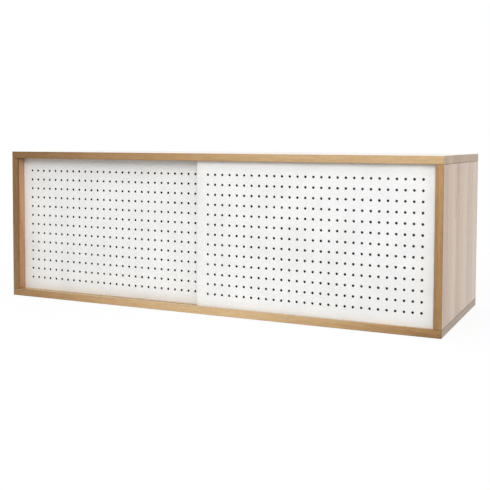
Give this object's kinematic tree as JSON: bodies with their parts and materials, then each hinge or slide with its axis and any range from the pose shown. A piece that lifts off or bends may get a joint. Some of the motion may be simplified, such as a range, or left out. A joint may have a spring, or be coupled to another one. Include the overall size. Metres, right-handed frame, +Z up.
{
  "type": "sliding-door shelf cabinet",
  "caption": "Long low oak cabinet whose perforated white doors slide past each other in routed grooves, in front of shelved bays.",
  "frame": {"origin": "middle of the underside, where the cabinet stands", "axes": "+X along the length, to the right seen from the front; +Y from the front to the back; +Z up"},
  "size_m": [1.2, 0.432, 0.404],
  "materials": {
    "oak": "satin oil",
    "white_panel": "white satin lacquer",
    "beech": "raw",
    "steel": "zinc",
    "strip": "waxy"
  },
  "bodies": {
    "carcass": {"back_panel": "oak", "back_panel_screws": "steel", "bottom_board": "oak", "bottom_left_dowels": "beech", "bottom_right_dowels": "beech", "centre_partition": "oak", "front_track_strip": "strip", "left_shelf": "oak", "left_shelf_pins": "steel", "left_side_board": "oak", "partition_bottom_dowels": "beech", "partition_top_dowels": "beech", "rear_track_strip": "strip", "right_shelf": "oak", "right_shelf_pins": "steel", "right_side_board": "oak", "top_board": "oak", "top_left_dowels": "beech", "top_right_dowels": "beech"},
    "front_door": {"front_door": "white_panel"},
    "rear_door": {"rear_door": "white_panel"}
  },
  "joints": [
    {"name": "front_door_slide", "type": "slide", "parent": "carcass", "child": "front_door", "axis": [-1, 0, 0], "range_m": [0, 0.561]},
    {"name": "rear_door_slide", "type": "slide", "parent": "carcass", "child": "rear_door", "axis": [1, 0, 0], "range_m": [0, 0.561]}
  ]
}
